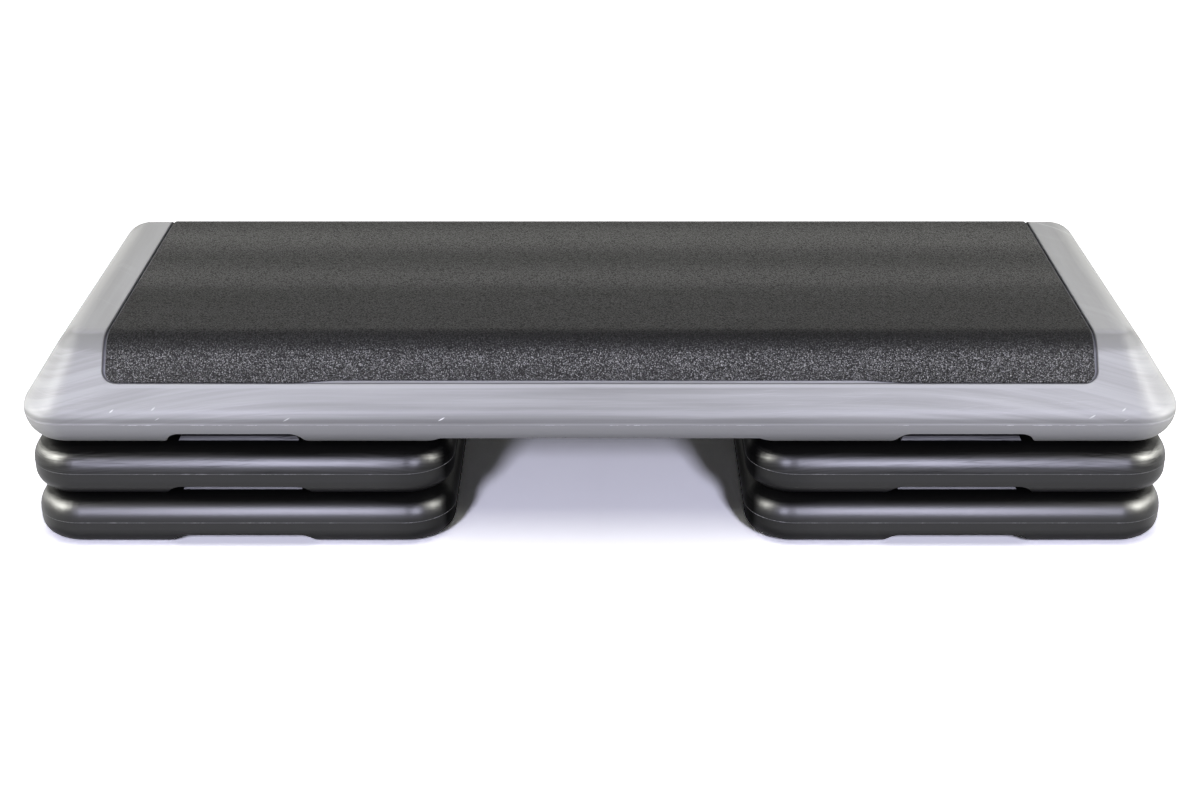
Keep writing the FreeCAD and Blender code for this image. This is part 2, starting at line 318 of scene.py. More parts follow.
def softbox(name, turn, rise, distance, size, power, color):
    """Lamp that faces the middle of the step, turned from the front and raised, both in degrees."""
    data = bpy.data.lights.new(name, "AREA")
    data.shape = "RECTANGLE"
    data.size, data.size_y = size
    data.energy = power
    data.color = color
    lamp = bpy.data.objects.new(name, data)
    scene.collection.objects.link(lamp)
    turn, rise = math.radians(turn), math.radians(rise)
    level = math.cos(rise)
    out = Vector((math.sin(turn) * level, -math.cos(turn) * level, math.sin(rise)))
    lamp.location = LAMP_TARGET + out * distance
    lamp.rotation_euler = out.to_track_quat("Z", "Y").to_euler()
    return lamp


print("lamps face", list(LAMP_TARGET))

# %% Lamps in pairs
LAVENDER = (0.80, 0.795, 1.0)
WARM_WHITE = (1.0, 0.995, 0.93)
FRONT_DISTANCE = 2.3
END_DISTANCE = 2.2

# Turn and rise in degrees, distance and size in metres, power in watts
PAIRED_LAMPS = {
    "front": (19.0, 23.2, FRONT_DISTANCE, (0.28, 0.34), 23.0, LAVENDER),
    "end": (64.0, 22.0, END_DISTANCE, (0.45, 0.45), 26.0, WARM_WHITE),
    "wedge": (98.0, 40.0, END_DISTANCE, (0.8, 0.8), 21.0, WARM_WHITE),
    "bar": (17.5, 19.0, FRONT_DISTANCE, (0.45, 0.9), 65.0, LAVENDER),
    "bounce": (75.0, -3.0, END_DISTANCE, (1.2, 0.2), 30.0, WARM_WHITE),
    "spot": (80.0, 27.5, END_DISTANCE, (1.9, 1.3), 185.0, WARM_WHITE),
    "rim": (122.0, 10.0, END_DISTANCE, (1.6, 1.0), 16.0, WARM_WHITE),
}
TOP_LAMP = (0.0, 70.0, FRONT_DISTANCE, (2.0, 1.6), 15.0, WARM_WHITE)

lamps = {}
for side, sign in SIDES.items():
    for use, (turn, *rest) in PAIRED_LAMPS.items():
        lamps[side, use] = softbox(f"{side}_{use}_lamp", sign * turn, *rest)
top_lamp = softbox("top_lamp", *TOP_LAMP)
print("lamps", len(lamps) + 1)

# %% What each lamp reaches
def group_of(name, pieces):
    """Collection that light linking can name."""
    group = bpy.data.collections.new(name)
    for piece in pieces:
        group.objects.link(piece)
    return group


def keep_off(lamp, *pieces):
    """Leave some pieces out of a lamp's light."""
    group = group_of(f"{lamp.name}_receivers", pieces)
    lamp.light_linking.receiver_collection = group
    for entry in group.collection_objects:
        entry.light_linking.link_state = "EXCLUDE"


risers = [nodes[f"{side}_{level}_riser"] for side in SIDES for level in ("lower", "upper")]
black_pieces = group_of("black_pieces", risers)
grey_pieces = group_of("grey_pieces", [nodes["deck_shell"]])
floor_pieces = group_of("floor_pieces", floor_halves.values())
REACHED = {
    "wedge": grey_pieces, "bounce": grey_pieces,
    "bar": black_pieces, "spot": black_pieces, "rim": black_pieces,
}

for side, other in zip(SIDES, reversed(SIDES)):
    keep_off(lamps[side, "front"], floor_halves[other], *risers)
    keep_off(lamps[side, "end"], *floor_halves.values())
    for use, group in REACHED.items():
        lamps[side, use].light_linking.receiver_collection = group
    lamps[side, "bounce"].light_linking.blocker_collection = grey_pieces
top_lamp.light_linking.receiver_collection = floor_pieces
print("linked", sorted(REACHED), "to", black_pieces.name, "and", grey_pieces.name)

# %% [markdown]
# ## Shared effects
# Blow-moulded plastic carries marks that no flat colour has. Each effect is one node group, so that the deck
# and the risers share it with values of their own.
#
# ### Flow streaks
# Molten plastic leaves faint streaks where it stretched. They run level round the body and sink towards its
# ends. Painted lines would repeat, so a noise is squeezed across the streaks and drawn out along them.

# %% Streaks of the moulded plastic
# Streaks stay level over this share of the half length, then sink as the square of the way past it
LEVEL_SHARE = 0.45
BOW_SCALE = 0.3

# The clouds' place across and along, as shares of the streaks'
CLOUD_ACROSS = 0.22
CLOUD_ALONG = 0.6
CLOUD_SEED = 4.0
STREAK_LIMITS = (0.30, 0.72)
CLOUD_LIMITS = (0.25, 0.75)


def noise(tree, vector, scale, detail=2.0, roughness=0.5, distortion=0.0):
    """Noise texture as a field."""
    node = place(
        tree, "ShaderNodeTexNoise",
        Vector=vector, Scale=scale, Detail=detail, Roughness=roughness, Distortion=distortion,
    )
    return Field(tree, node.outputs[0])


def flow_streaks_group():
    """Fine streaks, and broad clouds that follow them."""
    tree, enter, leave = new_tree(
        "flow_streaks", "ShaderNodeTree",
        [
            ("Position", "NodeSocketVector", None),
            ("Spacing", "NodeSocketFloat", 0.004),
            ("Run", "NodeSocketFloat", 0.3),
            ("Middle", "NodeSocketFloat", 0.0),
            ("Half", "NodeSocketFloat", 0.5),
            ("Bow", "NodeSocketFloat", 0.06),
        ],
        [("Streaks", "NodeSocketFloat"), ("Clouds", "NodeSocketFloat")],
    )
    spacing, run, middle, half, bow = [Field(tree, socket) for socket in list(enter.outputs)[1:6]]
    x, y, z = parts_of(tree, enter.outputs["Position"])
    away = ((x - middle).size() / half - LEVEL_SHARE).at_least(0.0)
    across = (z + bow * away * away / BOW_SCALE) / spacing
    along = (x + y) / run
    fine_place = vector_of(tree, across, along, 0.0)
    fine = noise(tree, fine_place, 1.0, detail=4.0, roughness=0.62, distortion=0.25)
    cloud_place = vector_of(tree, across * CLOUD_ACROSS, along * CLOUD_ALONG, CLOUD_SEED)
    broad = noise(tree, cloud_place, 1.0)
    feed(tree, leave.inputs["Streaks"], fine.smooth(*STREAK_LIMITS))
    feed(tree, leave.inputs["Clouds"], broad.smooth(*CLOUD_LIMITS))
    return tree


flow_streaks = flow_streaks_group()
print("group", flow_streaks.name, [item.name for item in flow_streaks.interface.items_tree])

# %% [markdown]
# ### Handling marks
# Sliding and stacking leave hairline scratches in patches, and knocks leave small white nicks. Three sets of
# drawn-out noise at slightly different slants cross each other as real scratches do. The nicks are the
# middles of long slanting Voronoi cells, and a slow noise lets only a few of them show.

# %% Scratches and nicks from handling
PATCHES_ALONG = 9.0
PATCHES_ACROSS = 30.0
PATCH_SEED = 3.0
PATCH_LIMITS = (0.40, 0.65)
SCRATCH_LIMITS = (0.55, 0.75)
NICK_SLANT = 0.5
NICK_ALONG = 0.16
NICK_ACROSS = 0.8
NICK_SEED = 2.0
NICK_PATCHES = 6.0
NICK_PATCH_SEED = 7.0
NICK_PATCH_LIMITS = (0.55, 0.60)
NICK_LIMITS = (0.12, 0.05)

# Slant, length over width, and seed of each set of scratches
SCRATCH_SETS = ((0.05, 60.0, 1.0), (-0.03, 90.0, 5.0), (0.12, 45.0, 9.0))


def handling_marks_group():
    """Long hairline scratches in patches, and a few short slanting nicks."""
    tree, enter, leave = new_tree(
        "handling_marks", "ShaderNodeTree",
        [
            ("Position", "NodeSocketVector", None),
            ("Width", "NodeSocketFloat", 0.001),
            ("Nick", "NodeSocketFloat", 0.012),
        ],
        [("Scratches", "NodeSocketFloat"), ("Nicks", "NodeSocketFloat")],
    )
    width = Field(tree, enter.outputs["Width"])
    nick = Field(tree, enter.outputs["Nick"])
    x, y, z = parts_of(tree, enter.outputs["Position"])
    along = x + y
    patch_place = vector_of(tree, along * PATCHES_ALONG, z * PATCHES_ACROSS, PATCH_SEED)
    patches = noise(tree, patch_place, 1.0).smooth(*PATCH_LIMITS)
    hairlines = 0.0
    for slant, reach, seed in SCRATCH_SETS:
        across = (z - along * slant) / width
        lines = noise(tree, vector_of(tree, across, along / width / reach, seed), 1.0, roughness=0.6)
        hairlines = lines.smooth(*SCRATCH_LIMITS) + hairlines
    nick_across = (z - along * NICK_SLANT) / nick * NICK_ACROSS
    nick_place = vector_of(tree, along / nick * NICK_ALONG, nick_across, NICK_SEED)
    spots = place(tree, "ShaderNodeTexVoronoi", Vector=nick_place, Scale=1.0)
    shown_place = vector_of(tree, along * NICK_PATCHES, z * NICK_PATCHES, NICK_PATCH_SEED)
    shown = noise(tree, shown_place, 1.0, detail=1.0).smooth(*NICK_PATCH_LIMITS)
    nicks = Field(tree, spots.outputs["Distance"]).smooth(*NICK_LIMITS) * shown
    feed(tree, leave.inputs["Scratches"], (hairlines * patches).at_most(1.0))
    feed(tree, leave.inputs["Nicks"], nicks)
    return tree


handling_marks = handling_marks_group()
print("group", handling_marks.name)

# %% [markdown]
# ### Pebbled grain
# The tread is pressed with a leather-like pebble. So many pebbles would be too heavy as geometry, so they are
# Voronoi cells: each cell is high in its middle and has a dark crease round it, and some are painted pale on
# top as glints.

# %% Pebbled grain of the rubber
SKIN_SCALE = 2.6
SKIN_HEIGHT = 0.4
FLECK_SCALE = 1.5
FLECK_LIMITS = (0.44, 0.64)
CREASE_LIMITS = (0.35, 0.75)
CROWN_LIMITS = (0.75, 0.25)
LEAST_GLINT, MORE_GLINT = 0.3, 0.9


def pebble_grain_group():
    """Close-set round pebbles with dark creases between them, some of them painted pale on top as glints."""
    tree, enter, leave = new_tree(
        "pebble_grain", "ShaderNodeTree",
        [("Position", "NodeSocketVector", None), ("Pebble", "NodeSocketFloat", 0.0026)],
        [("Height", "NodeSocketFloat"), ("Creases", "NodeSocketFloat"), ("Glints", "NodeSocketFloat")],
    )
    pebble = Field(tree, enter.outputs["Pebble"])
    x, y, z = parts_of(tree, enter.outputs["Position"])
    scaled = vector_of(tree, x / pebble, y / pebble, z / pebble)
    cells = place(tree, "ShaderNodeTexVoronoi", Vector=scaled, Scale=1.0)
    distance = Field(tree, cells.outputs["Distance"])
    chance = parts_of(tree, cells.outputs["Color"])[0]
    skin = noise(tree, scaled, SKIN_SCALE, roughness=0.6)
    flecks = noise(tree, scaled, FLECK_SCALE, roughness=0.6, distortion=0.4).smooth(*FLECK_LIMITS)
    # Painted glints: some pebbles pale on top.
    glints = flecks * distance.smooth(*CROWN_LIMITS) * (chance * MORE_GLINT + LEAST_GLINT)
    feed(tree, leave.inputs["Height"], 1.0 - distance * distance + skin * SKIN_HEIGHT)
    feed(tree, leave.inputs["Creases"], distance.smooth(*CREASE_LIMITS))
    feed(tree, leave.inputs["Glints"], glints)
    return tree


pebble_grain = pebble_grain_group()
print("group", pebble_grain.name)

# %% [markdown]
# ## Finishes
# Each finish is one Principled shader. What is the same all over is set on the shader itself, and only what
# changes over the surface comes in through nodes. Every pattern reads Object coordinates: the pieces stay at
# the origin, so these are metres on the real step and the marks keep their true size.

# %% Material helpers
SURFACE_IOR = 1.5

# Places of a colour Mix node's factor and two colours among its inputs, and of the result among its outputs
MIX_SHARE, MIX_LOW, MIX_HIGH, MIX_RESULT = 0, 6, 7, 2


def group_node(tree, group, position, **inputs):
    """Place a shared effect and feed it."""
    node = tree.nodes.new("ShaderNodeGroup")
    node.node_tree = group
    feed(tree, node.inputs["Position"], position)
    for name, value in inputs.items():
        feed(tree, node.inputs[name], value)
    return node


def mixed(tree, share, low, high):
    """Colour between two others, by a field."""
    node = place(tree, "ShaderNodeMix", {"data_type": "RGBA"})
    feed(tree, node.inputs[MIX_SHARE], share)
    feed(tree, node.inputs[MIX_LOW], low)
    feed(tree, node.inputs[MIX_HIGH], high)
    return node.outputs[MIX_RESULT]


def new_finish(name, specular):
    """Material with one Principled shader, and the Object coordinates."""
    material = bpy.data.materials.new(name)
    material.use_nodes = True
    tree = material.node_tree
    shader = tree.nodes["Principled BSDF"]
    shader.inputs["Specular IOR Level"].default_value = specular
    shader.inputs["IOR"].default_value = SURFACE_IOR
    position = place(tree, "ShaderNodeTexCoord").outputs["Object"]
    return material, tree, shader, position


def bumped(tree, shader, height, depth):
    """Surface relief of a given depth in metres."""
    bump = place(tree, "ShaderNodeBump", Height=height, Distance=depth, Strength=1.0)
    feed(tree, shader.inputs["Normal"], bump.outputs[0])


print("finish helpers ready")

# %% [markdown]
# ### Deck plastic
# The deck is satin grey polyethylene. Above the moulding line it was drawn tight over a smooth mould and
# shows pale streaks, and it is painted paler towards its ends: painted light, as the lamps reach the middle
# less. Below the line the mould was left matt. Painted shade darkens a band just above the line, the groove
# round the mat and the folds beside the mat, and a painted highlight makes the lip in front of the mat pale.
# All of these are bands at a height or at a distance, so masks on Object coordinates do it.

# %% Distance from the mat
MAT_THICKNESS = 0.0030
MAT_LEAN = math.radians(34.0)
MAT_CORNER_RADIUS = 0.010
mat_low, mat_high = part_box("tread_mat")
slope_end = mat_low.z + MAT_THICKNESS * math.sin(MAT_LEAN)


def past_mat(x, y, z):
    """How far a place on the deck lies down the slope from the mat's end, and out from its outline."""
    mat_end = mat_high.y * math.sin(MAT_LEAN) - slope_end * math.cos(MAT_LEAN)
    down = y.size() * math.sin(MAT_LEAN) - z * math.cos(MAT_LEAN) - mat_end
    sideways = (x.size() - mat_high.x + MAT_CORNER_RADIUS).at_least(0.0)
    lengthways = (down + MAT_CORNER_RADIUS).at_least(0.0)
    return down, (sideways * sideways + lengthways * lengthways).power(0.5) - MAT_CORNER_RADIUS


print("mat reaches", round(mat_high.x, 4), round(mat_high.y, 4))

# %% Deck plastic
DECK_PARTING_RISE = 0.0268
PARTING_BLUR = 0.001

# Start, full, fade and end of each band: above the moulding line, out from the mat, down the slope from the
# mat's end, and below the top
PARTING_SHADE_BAND = (0.0012, 0.0025, 0.0045, 0.0085)
GROOVE_SHADE_BAND = (0.0017, 0.0022, 0.0032, 0.0039)
LIP_HIGHLIGHT_BAND = (0.0030, 0.0037, 0.0055, 0.0085)
LIP_HIGHLIGHT_FADE = 0.012
FOLD_BAND = (0.0005, 0.003, 0.005, 0.016)
FOLD_FROM, FOLD_TO = 0.13, 0.155
FOLD_SHADE = 1.2
ENDS_LIT_FROM, ENDS_LIT_TO = 0.05, 0.42

# Shares in the tone, the painted shade, the roughness and the relief
STREAK_TONE, CLOUD_TONE, SCRATCH_TONE, ENDS_LIT_TONE = 0.65, 0.75, 0.25, 0.42
DARK_TONE = 0.47
PARTING_SHADE_DARK, GROOVE_SHADE_DARK, FOLD_SHADE_DARK = 0.50, 0.75, 0.12
DECK_MATT, DECK_POLISH, STREAK_MATT, SHADE_MATT = 0.58, 0.20, 0.08, 0.30
STREAK_HEIGHT, GRAIN_HEIGHT, GRAIN_POLISH, SCRATCH_DEPTH = 0.5, 0.5, 0.3, 0.3
DECK_GREY = (0.200, 0.201, 0.205, 1.0)
DECK_PALE = (0.300, 0.302, 0.313, 1.0)
SHADE_COLOR = (0.07, 0.07, 0.072, 1.0)
NICK_COLOR = (0.78, 0.78, 0.80, 1.0)
DECK_GRAIN = 1400.0
DECK_RELIEF = 0.00012
deck_low, deck_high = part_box("deck_shell")
deck_parting = deck_low.z + DECK_PARTING_RISE


def deck_plastic():
    """Satin grey above the moulding line, matt below it."""
    material, tree, shader, position = new_finish("deck_plastic", specular=0.5)
    x, y, z = parts_of(tree, position)
    down, out = past_mat(x, y, z)
    upper = z.smooth(deck_parting - PARTING_BLUR, deck_parting + PARTING_BLUR)
    # Painted shade: a dark band just above the moulding line, where the nose turns from the lamps.
    parting_shade = (z - deck_parting).band(*PARTING_SHADE_BAND)
    # Painted shade: a dark line in the groove round the mat.
    groove_shade = out.band(*GROOVE_SHADE_BAND)
    # Painted highlight: a pale band on the lip in front of the mat, fading out past the mat's ends.
    lip_highlight = down.band(*LIP_HIGHLIGHT_BAND) * x.size().smooth(mat_high.x, mat_high.x - LIP_HIGHLIGHT_FADE)
    # Painted shade on the folds beside the mat, in the tone and in the dark colour.
    fold = (deck_high.z - z).band(*FOLD_BAND) * y.size().smooth(FOLD_FROM, FOLD_TO)
    shaded = fold * FOLD_SHADE
    # Painted light: paler towards the ends and darker in the middle, where the lamps reach less.
    ends_lit = x.size().smooth(ENDS_LIT_FROM, ENDS_LIT_TO)
    streaks = group_node(
        tree, flow_streaks, position, Spacing=0.006, Run=0.30, Half=deck_high.x, Bow=0.045,
    )
    marks = group_node(tree, handling_marks, position, Width=0.0012, Nick=0.006)
    fine, clouds = [Field(tree, streaks.outputs[name]) for name in ("Streaks", "Clouds")]
    scratches, nicks = [Field(tree, marks.outputs[name]) for name in ("Scratches", "Nicks")]
    pale = fine * STREAK_TONE + clouds * CLOUD_TONE + scratches * SCRATCH_TONE + ends_lit * ENDS_LIT_TONE
    plain = mixed(tree, (pale - DARK_TONE) * upper + lip_highlight - shaded, DECK_GREY, DECK_PALE)
    # The painted shade of the parting band, the groove and the folds in one mask, which also makes them
    # rougher.
    painted_shade = parting_shade * PARTING_SHADE_DARK + groove_shade * GROOVE_SHADE_DARK + shaded * FOLD_SHADE_DARK
    shaded_plain = mixed(tree, painted_shade, plain, SHADE_COLOR)
    feed(tree, shader.inputs["Base Color"], mixed(tree, nicks * upper, shaded_plain, NICK_COLOR))
    roughness = DECK_MATT - upper * DECK_POLISH + fine * STREAK_MATT + painted_shade * SHADE_MATT
    feed(tree, shader.inputs["Roughness"], roughness)
    grain = noise(tree, position, DECK_GRAIN) * (GRAIN_HEIGHT - upper * GRAIN_POLISH)
    relief = fine * upper * STREAK_HEIGHT + grain - scratches * SCRATCH_DEPTH
    bumped(tree, shader, relief, DECK_RELIEF)
    return material


def dress(piece, finish):
    """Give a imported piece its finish."""
    piece.data.materials.clear()
    piece.data.materials.append(finish)


dress(nodes["deck_shell"], deck_plastic())
print("deck parting line at", round(deck_parting, 4))

# %% [markdown]
# ### Riser plastic
# The risers are the same plastic in black, so nearly all that shows on them is a mirrored lamp. A coat over a
# black base does that, and its weight says where: full on the round front; nothing on the shoulder under the
# next level and less towards the inner end, which is painted shade where the level above and the gap between
# the stacks shade the plastic; and some on the lugs, which wear has made shiny. The lugs are also painted a
# little paler, as wear and as a painted highlight. The upper pair has been slid about and is full of fine
# scratches in its shiny half; the lower pair is cleaner. One function makes both, from the height of the
# moulding line.

# %% Riser plastic
RISER_PARTING_RISE = 0.02525
LUG_RISE = 0.0042
LUG_EDGE = 0.0005
SHOULDER_SHADE_FROM, SHOULDER_SHADE_TO = 0.013, 0.021
INNER_EDGE_FROM, INNER_EDGE_TO = 0.013, 0.004
INNER_SIDE_FROM, INNER_SIDE_TO = 0.08, 0.03
RISER_BLACK = (0.001, 0.001, 0.001, 1.0)
RISER_WORN = (0.10, 0.10, 0.10, 1.0)

# Shares in the coat dulled by scuffs and painted shade, the wear and painted lug highlight, the roughness and
# the relief
INNER_SIDE_SHADE, SCRATCH_DULL, STREAK_DULL = 0.25, 0.7, 0.45
SCRATCH_WEAR, LUG_WEAR_AND_HIGHLIGHT = 0.04, 0.12
RISER_MATT, RISER_POLISH, CLOUD_MATT, SCRATCH_MATT = 0.44, 0.08, 0.05, 0.12
RISER_SCRATCH_HEIGHT, RISER_GRAIN_HEIGHT = 0.8, 0.2
RISER_GRAIN = 1500.0
RISER_RELIEF = 0.00016

# Strength of the scuffs, roughness of the coat and shine of the lugs
RISER_LEVELS = {"upper": (0.75, 0.36, 0.38), "lower": (0.25, 0.37, 0.48)}


def riser_plastic(name, low, high, scuffs, gloss, lug_shine):
    """Black under a mirroring coat, for the two risers of one level."""
    material, tree, shader, position = new_finish(name, specular=0.02)
    parting = low.z + RISER_PARTING_RISE
    middle, half = abs(low.x + high.x) / 2, (high.x - low.x) / 2
    x, y, z = parts_of(tree, position)
    upper = z.smooth(parting - PARTING_BLUR, parting + PARTING_BLUR)
    lug = z.smooth(high.z - LUG_RISE, high.z - LUG_RISE + LUG_EDGE)
    # Painted shade: the shoulder under the next level loses its coat and keeps no scratch wear.
    shoulder_shade = z.smooth(parting + SHOULDER_SHADE_FROM, parting + SHOULDER_SHADE_TO)
    inner = x.size() - (middle - half)
    # Painted shade: less coat towards the inner end, in the gap between the stacks.
    inner_shade = inner.smooth(INNER_SIDE_FROM, INNER_SIDE_TO) * INNER_SIDE_SHADE
    inner_shade = inner.smooth(INNER_EDGE_FROM, INNER_EDGE_TO) + inner_shade
    streaks = group_node(
        tree, flow_streaks, vector_of(tree, x.size(), y, z),
        Spacing=0.003, Run=0.16, Middle=middle, Half=half, Bow=0.014,
    )
    marks = group_node(tree, handling_marks, position, Width=0.0010, Nick=0.008)
    fine, clouds = [Field(tree, streaks.outputs[name]) for name in ("Streaks", "Clouds")]
    scratches = Field(tree, marks.outputs["Scratches"]) * upper
    # The lugs are painted a little paler: wear, and a painted highlight on their faces.
    worn = (scratches * SCRATCH_WEAR * (1.0 - shoulder_shade) + lug * LUG_WEAR_AND_HIGHLIGHT).at_most(1.0)
    feed(tree, shader.inputs["Base Color"], mixed(tree, worn, RISER_BLACK, RISER_WORN))
    shader.inputs["Coat Roughness"].default_value = gloss
    scuffed = (scratches * SCRATCH_DULL + fine * STREAK_DULL) * upper * scuffs
    # Coat dulled by real scuffs and by the painted shade of the shoulder and the inner end.
    dulled_and_shaded = shoulder_shade * (1.0 - lug * lug_shine) + scuffed + inner_shade
    feed(tree, shader.inputs["Coat Weight"], (1.0 - dulled_and_shaded).at_least(0.0))
    roughness = RISER_MATT - upper * RISER_POLISH + clouds * CLOUD_MATT
    feed(tree, shader.inputs["Roughness"], roughness + scratches * SCRATCH_MATT * scuffs)
    grain = noise(tree, position, RISER_GRAIN) * RISER_GRAIN_HEIGHT
    relief = (fine + scratches * RISER_SCRATCH_HEIGHT) * upper * scuffs + grain
    bumped(tree, shader, relief, RISER_RELIEF)
    return material


for level, values in RISER_LEVELS.items():
    riser_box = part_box(f"left_{level}_riser")
    riser_finish = riser_plastic(f"{level}_riser_plastic", *riser_box, *values)
    for side in SIDES:
        dress(nodes[f"{side}_{level}_riser"], riser_finish)
print("risers dressed")

# %% [markdown]
# ### Foot rubber
# The push-in feet are plain black rubber, dull and slightly dusty in patches. They hardly
# show, so two noises are enough: a coarse one for the dust and a fine one for the skin of the rubber.

# %% Foot rubber
FOOT_BLACK = (0.016, 0.016, 0.016, 1.0)
FOOT_DUSTY = (0.05, 0.05, 0.048, 1.0)
FOOT_MATT, DUST_MATT = 0.62, 0.2
FOOT_DUST = 120.0
FOOT_DUST_LIMITS = (0.35, 0.75)
FOOT_GRAIN = 900.0
FOOT_RELIEF = 0.0001


def foot_rubber():
    """Dull black with a little dust."""
    material, tree, shader, position = new_finish("foot_rubber", specular=0.35)
    dust = noise(tree, position, FOOT_DUST, detail=3.0, roughness=0.6).smooth(*FOOT_DUST_LIMITS)
    feed(tree, shader.inputs["Base Color"], mixed(tree, dust, FOOT_BLACK, FOOT_DUSTY))
    feed(tree, shader.inputs["Roughness"], dust * DUST_MATT + FOOT_MATT)
    bumped(tree, shader, noise(tree, position, FOOT_GRAIN), FOOT_RELIEF)
    return material


foot_finish = foot_rubber()
feet = [name for name in nodes if name.endswith("_foot")]
for name in feet:
    dress(nodes[name], foot_finish)
print("feet", len(feet))

# %% [markdown]
# ### Tread rubber
# The mat is black rubber with a leather-like pebble. Its top is worn to a dull grey in faint bands along the
# step, where feet land, and the slopes are glossier. Pale pebble tops are painted glints of the front light:
# few on the flat, more over the fold and most on the slopes and the brow. The depth below the top tells flat,
# fold and slope apart, and a cosine lays out the bands.

# %% Tread rubber
TREAD_BAND_STEP = 0.115
TREAD_BAND_SHIFT = 0.015
BAND_FROM, BAND_TO = -0.09, -0.02
REAR_FROM, REAR_TO = -0.15, 0.15
BENT_FROM, BENT_TO = 0.001, 0.014
SLOPE_FROM, SLOPE_TO = 0.008, 0.026
BROW_BAND = (0.009, 0.016, 0.020, 0.032)
DUST_ALONG = 1.2
DUST_ACROSS = 22.0
DUST_LIMITS = (0.3, 0.7)

# Shares in the wear, the painted glints and the roughness
DUST_WEAR, BAND_WEAR = 0.6, 0.8
WORN_TONE = 0.09
GLINT_FLAT, GLINT_BENT, GLINT_SLOPE, GLINT_BROW = 0.12, 0.40, 0.58, 0.55
TREAD_MATT, CREASE_MATT = 0.54, 0.2
BAND_POLISH, REAR_POLISH, SLOPE_POLISH = 0.09, 0.10, 0.22

TREAD_BLACK = (0.003, 0.003, 0.003, 1.0)
TREAD_GLINT = (0.32, 0.318, 0.318, 1.0)
PEBBLE_SIZE = 0.0014
PEBBLE_RELIEF = 0.0008


def tread_rubber():
    """Pebbled black, worn in bands on the flat, glossier on the slopes, with painted glints strongest there.
    """
    material, tree, shader, position = new_finish("tread_rubber", specular=0.4)
    x, y, z = parts_of(tree, position)
    below = mat_high.z - z
    bent = below.smooth(BENT_FROM, BENT_TO)
    slope = below.smooth(SLOPE_FROM, SLOPE_TO)
    brow = below.band(*BROW_BAND)
    rear = y.smooth(REAR_FROM, REAR_TO)
    grain = group_node(tree, pebble_grain, position, Pebble=PEBBLE_SIZE)
    creases, glints = [Field(tree, grain.outputs[name]) for name in ("Creases", "Glints")]
    dust_place = vector_of(tree, x * DUST_ALONG, y * DUST_ACROSS, z * DUST_ACROSS)
    dust = noise(tree, dust_place, 1.0, detail=3.0, roughness=0.55).smooth(*DUST_LIMITS)
    wave = y.math("COSINE", (y + TREAD_BAND_SHIFT) * (2 * math.pi / TREAD_BAND_STEP)) * 0.5 + 0.5
    wave = wave * y.smooth(BAND_FROM, BAND_TO)
    worn = (dust * DUST_WEAR + wave * BAND_WEAR) * (1.0 - bent) * (1.0 - creases)
    # Painted glints: fewest on the flat, more over the fold and most on the slopes and the brow.
    glint_share = GLINT_FLAT + bent * GLINT_BENT + slope * GLINT_SLOPE + brow * GLINT_BROW
    tone = worn * WORN_TONE + glints * glint_share
    feed(tree, shader.inputs["Base Color"], mixed(tree, tone, TREAD_BLACK, TREAD_GLINT))
    polish = wave * BAND_POLISH + rear * REAR_POLISH + slope * SLOPE_POLISH
    feed(tree, shader.inputs["Roughness"], TREAD_MATT - polish + creases * CREASE_MATT)
    bumped(tree, shader, Field(tree, grain.outputs["Height"]), PEBBLE_RELIEF)
    return material


tread_finish = tread_rubber()
print("finish", tread_finish.name)

# %% [markdown]
# ## Making pieces with Geometry Nodes
# A node tree is a recipe with named sizes. This helper hands a recipe its sizes, lets Blender work it out
# once, and keeps the result as a plain mesh, so that nothing live is left on the piece.

# %% Plain mesh from a recipe
def made_by(tree, name, **sizes):
    """Piece with a plain mesh, made by a node tree from these sizes."""
    piece = bpy.data.objects.new(name, bpy.data.meshes.new(f"{name}_start"))
    scene.collection.objects.link(piece)
    recipe = piece.modifiers.new("recipe", "NODES")
    recipe.node_group = tree
    for item in tree.interface.items_tree:
        if item.in_out == "INPUT" and item.name in sizes:
            recipe[item.identifier] = sizes[item.name]
    evaluated = piece.evaluated_get(bpy.context.evaluated_depsgraph_get())
    mesh = bpy.data.meshes.new_from_object(evaluated)
    mesh.name = name
    finish = next(material for material in mesh.materials if material)
    mesh.materials.clear()
    mesh.materials.append(finish)
    piece.modifiers.clear()
    piece.data = mesh
    print(name, len(mesh.vertices), "points", finish.name)
    return piece


def chain(tree, geometry, kind, settings=(), **inputs):
    """Pass geometry through one more node."""
    node = place(tree, kind, settings, **inputs)
    feed(tree, node.inputs[0], geometry)
    return node.outputs[0]


def finished(tree, leave, geometry, material):
    """Last nodes of every recipe: plain geometry with its finish."""
    geometry = chain(tree, geometry, "GeometryNodeSetShadeSmooth")
    geometry = chain(tree, geometry, "GeometryNodeRealizeInstances")
    geometry = chain(tree, geometry, "GeometryNodeSetMaterial", Material=material)
    feed(tree, leave.inputs["Geometry"], geometry)


print("recipe helpers ready")

# %% [markdown]
# ### The tread mat
# The mat is one rubber sheet with round corners and softened edges. It lies flat on the deck, bends over the
# fold at the front and the back, and runs a little way down each slope. That is a rule, so a recipe can make
# it: a flat grid is given the outline of the sheet, then wrapped over a line of a flat, an arc and a slope.
# Rows of points crowd together at the edge, where the sheet rounds over. Towards its ends the sheet was laid
# a little further down the slope, so the recipe stretches it there.

# %% Mat recipe
MAT_FOLD_RADIUS = 0.0304
MAT_EDGE_ROUND = 0.0012
MAT_END_STRETCH = 0.0024
STRETCH_FROM, STRETCH_TO = 0.24, 0.29
EDGE_RINGS = 5
CORNER_RINGS = 8
MAT_COLUMNS = 52
MAT_ROWS = 110
MERGE_DISTANCE = 1e-6
TINY = 1e-9


def edge_turn(count):
    """How far round the softened edge a ring of points lies."""
    return ((count - 1.0) / (EDGE_RINGS - 1.0)).at_least(0.0).at_most(1.0) * (math.pi / 2)


